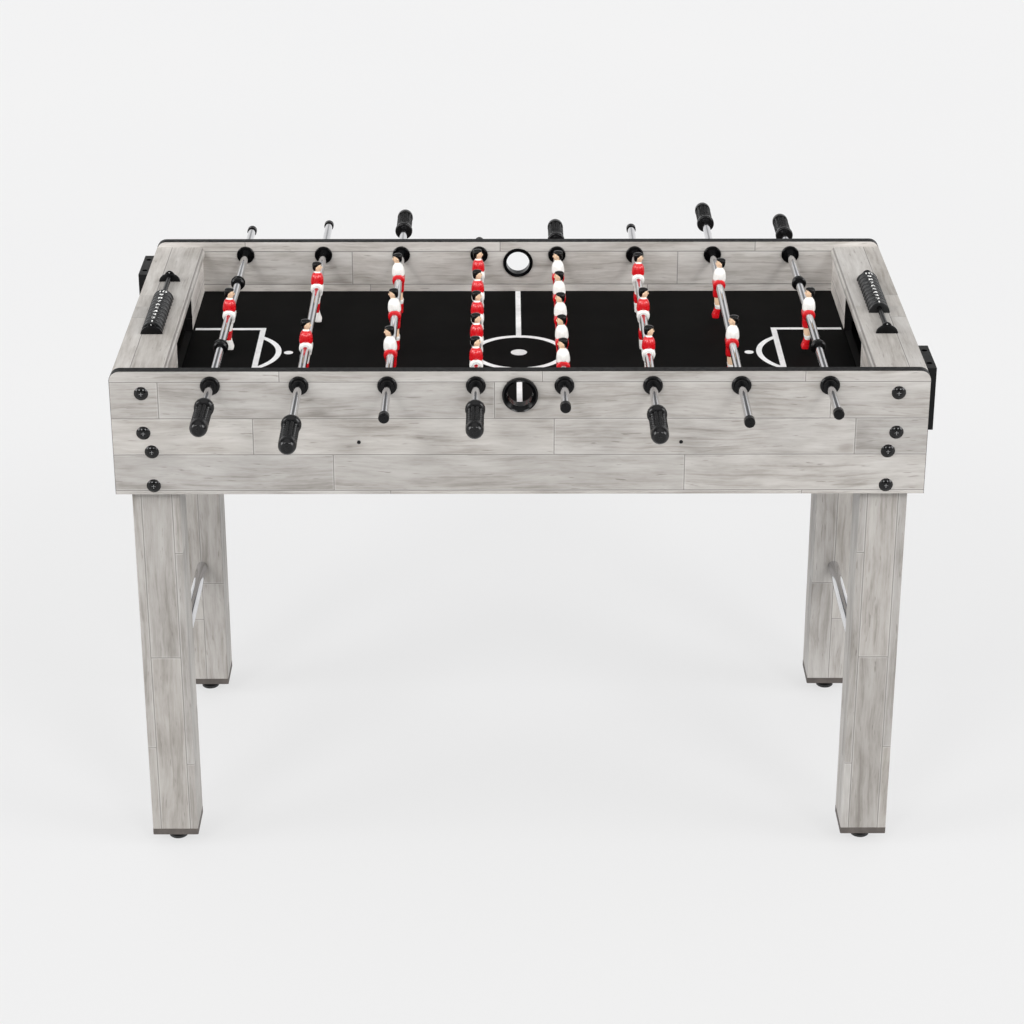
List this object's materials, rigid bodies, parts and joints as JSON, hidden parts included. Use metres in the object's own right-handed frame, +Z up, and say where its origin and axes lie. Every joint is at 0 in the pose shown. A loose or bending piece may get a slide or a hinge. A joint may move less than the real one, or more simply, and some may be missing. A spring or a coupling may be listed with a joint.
{
  "type": "foosball table",
  "caption": "Free-standing foosball table: wood-print cabinet on square legs, sliding and spinning rods with players, goals, ball returns and bead scorers.",
  "frame": {"origin": "on the floor under the middle of the table", "axes": "+X along the playing field towards the right end, +Y to the back, +Z up"},
  "size_m": [1.249, 1.088, 0.8467],
  "materials": {
    "oak_print": "satin grey weathered-oak print on fibreboard",
    "black_edging": "satin black edging",
    "black_field": "matte black printed board",
    "raw_wood": "bare fibreboard and batten",
    "black_plastic": "moulded, semi gloss",
    "cap_plastic": "dark grey-brown, matte",
    "chrome": "polished",
    "black_metal": "gloss black",
    "zinc_steel": "zinc plated",
    "foot_plastic": "matte black",
    "red_player": "red shirt, moulded",
    "white_player": "white shirt, moulded",
    "grip_plastic": "ribbed black grip",
    "black_rubber": "black rubber"
  },
  "bodies": {
    "cabinet": {"front_panel": "oak_print", "back_panel": "oak_print", "left_end_panel": "oak_print", "right_end_panel": "oak_print", "goal_walls": "oak_print", "end_top_boards": "oak_print", "panel_edge_trim": "black_edging", "playfield": "black_field", "inner_battens": "raw_wood", "ball_return_ramps": "raw_wood", "ball_return_boxes": "black_plastic", "ball_entry_cups": "black_plastic", "rod_bearings": "black_plastic", "bearing_nuts": "black_plastic", "front_legs": "oak_print", "rear_legs": "oak_print", "leg_caps": "cap_plastic", "leg_cross_tubes": "chrome", "panel_bolts": "black_metal", "leg_nuts": "zinc_steel", "panel_screws": "black_metal", "scorer_frames": "black_plastic"},
    "rod_1_slider": {"rod_1_stops": "black_rubber"},
    "rod_1_spinner": {"rod_1": "chrome", "rod_1_players": "red_player", "rod_1_grip": "grip_plastic"},
    "rod_2_slider": {"rod_2_stops": "black_rubber"},
    "rod_2_spinner": {"rod_2": "chrome", "rod_2_players": "red_player", "rod_2_grip": "grip_plastic"},
    "rod_3_slider": {"rod_3_stops": "black_rubber"},
    "rod_3_spinner": {"rod_3": "chrome", "rod_3_players": "white_player", "rod_3_grip": "grip_plastic"},
    "rod_4_slider": {"rod_4_stops": "black_rubber"},
    "rod_4_spinner": {"rod_4": "chrome", "rod_4_players": "red_player", "rod_4_grip": "grip_plastic"},
    "rod_5_slider": {"rod_5_stops": "black_rubber"},
    "rod_5_spinner": {"rod_5": "chrome", "rod_5_players": "white_player", "rod_5_grip": "grip_plastic"},
    "rod_6_slider": {"rod_6_stops": "black_rubber"},
    "rod_6_spinner": {"rod_6": "chrome", "rod_6_players": "red_player", "rod_6_grip": "grip_plastic"},
    "rod_7_slider": {"rod_7_stops": "black_rubber"},
    "rod_7_spinner": {"rod_7": "chrome", "rod_7_players": "white_player", "rod_7_grip": "grip_plastic"},
    "rod_8_slider": {"rod_8_stops": "black_rubber"},
    "rod_8_spinner": {"rod_8": "chrome", "rod_8_players": "white_player", "rod_8_grip": "grip_plastic"},
    "front_left_foot": {"front_left_leveler": "foot_plastic"},
    "front_right_foot": {"front_right_leveler": "foot_plastic"},
    "rear_left_foot": {"rear_left_leveler": "foot_plastic"},
    "rear_right_foot": {"rear_right_leveler": "foot_plastic"},
    "left_beads": {"left_score_beads": "black_plastic"},
    "right_beads": {"right_score_beads": "black_plastic"}
  },
  "joints": [
    {"name": "rod_1_slide", "type": "slide", "parent": "cabinet", "child": "rod_1_slider", "axis": [0, 1, 0], "range_m": [-0.0965, 0.0715]},
    {"name": "rod_1_spin", "type": "hinge", "parent": "rod_1_slider", "child": "rod_1_spinner", "pos_m": [-0.45955, 0, 0.8022], "axis": [0, 1, 0], "continuous": true},
    {"name": "rod_2_slide", "type": "slide", "parent": "cabinet", "child": "rod_2_slider", "axis": [0, 1, 0], "range_m": [-0.1265, 0.1355]},
    {"name": "rod_2_spin", "type": "hinge", "parent": "rod_2_slider", "child": "rod_2_spinner", "pos_m": [-0.32825, -0.008, 0.8022], "axis": [0, 1, 0], "continuous": true},
    {"name": "rod_3_slide", "type": "slide", "parent": "cabinet", "child": "rod_3_slider", "axis": [0, 1, 0], "range_m": [-0.0975, 0.1025]},
    {"name": "rod_3_spin", "type": "hinge", "parent": "rod_3_slider", "child": "rod_3_spinner", "pos_m": [-0.19695, -0.002, 0.8022], "axis": [0, 1, 0], "continuous": true},
    {"name": "rod_4_slide", "type": "slide", "parent": "cabinet", "child": "rod_4_slider", "axis": [0, 1, 0], "range_m": [-0.0345, 0.0795]},
    {"name": "rod_4_spin", "type": "hinge", "parent": "rod_4_slider", "child": "rod_4_spinner", "pos_m": [-0.06565, -0.014, 0.8022], "axis": [0, 1, 0], "continuous": true},
    {"name": "rod_5_slide", "type": "slide", "parent": "cabinet", "child": "rod_5_slider", "axis": [0, 1, 0], "range_m": [-0.0435, 0.0705]},
    {"name": "rod_5_spin", "type": "hinge", "parent": "rod_5_slider", "child": "rod_5_spinner", "pos_m": [0.06565, -0.022, 0.8022], "axis": [0, 1, 0], "continuous": true},
    {"name": "rod_6_slide", "type": "slide", "parent": "cabinet", "child": "rod_6_slider", "axis": [0, 1, 0], "range_m": [-0.1005, 0.0995]},
    {"name": "rod_6_spin", "type": "hinge", "parent": "rod_6_slider", "child": "rod_6_spinner", "pos_m": [0.19695, 0, 0.8022], "axis": [0, 1, 0], "continuous": true},
    {"name": "rod_7_slide", "type": "slide", "parent": "cabinet", "child": "rod_7_slider", "axis": [0, 1, 0], "range_m": [-0.1355, 0.1265]},
    {"name": "rod_7_spin", "type": "hinge", "parent": "rod_7_slider", "child": "rod_7_spinner", "pos_m": [0.32825, 0.008, 0.8022], "axis": [0, 1, 0], "continuous": true},
    {"name": "rod_8_slide", "type": "slide", "parent": "cabinet", "child": "rod_8_slider", "axis": [0, 1, 0], "range_m": [-0.0715, 0.0965]},
    {"name": "rod_8_spin", "type": "hinge", "parent": "rod_8_slider", "child": "rod_8_spinner", "pos_m": [0.45955, 0, 0.8022], "axis": [0, 1, 0], "continuous": true},
    {"name": "front_left_foot_turn", "type": "hinge", "parent": "cabinet", "child": "front_left_foot", "pos_m": [-0.5515, -0.254, 0.004], "axis": [0, 0, 1], "continuous": true},
    {"name": "front_right_foot_turn", "type": "hinge", "parent": "cabinet", "child": "front_right_foot", "pos_m": [0.5515, -0.254, 0.004], "axis": [0, 0, 1], "continuous": true},
    {"name": "rear_left_foot_turn", "type": "hinge", "parent": "cabinet", "child": "rear_left_foot", "pos_m": [-0.5515, 0.254, 0.004], "axis": [0, 0, 1], "continuous": true},
    {"name": "rear_right_foot_turn", "type": "hinge", "parent": "cabinet", "child": "rear_right_foot", "pos_m": [0.5515, 0.254, 0.004], "axis": [0, 0, 1], "continuous": true},
    {"name": "left_score", "type": "slide", "parent": "cabinet", "child": "left_beads", "axis": [0, 1, 0], "range_m": [0, 0.0834]},
    {"name": "right_score", "type": "slide", "parent": "cabinet", "child": "right_beads", "axis": [0, 1, 0], "range_m": [-0.0834, 0]}
  ]
}
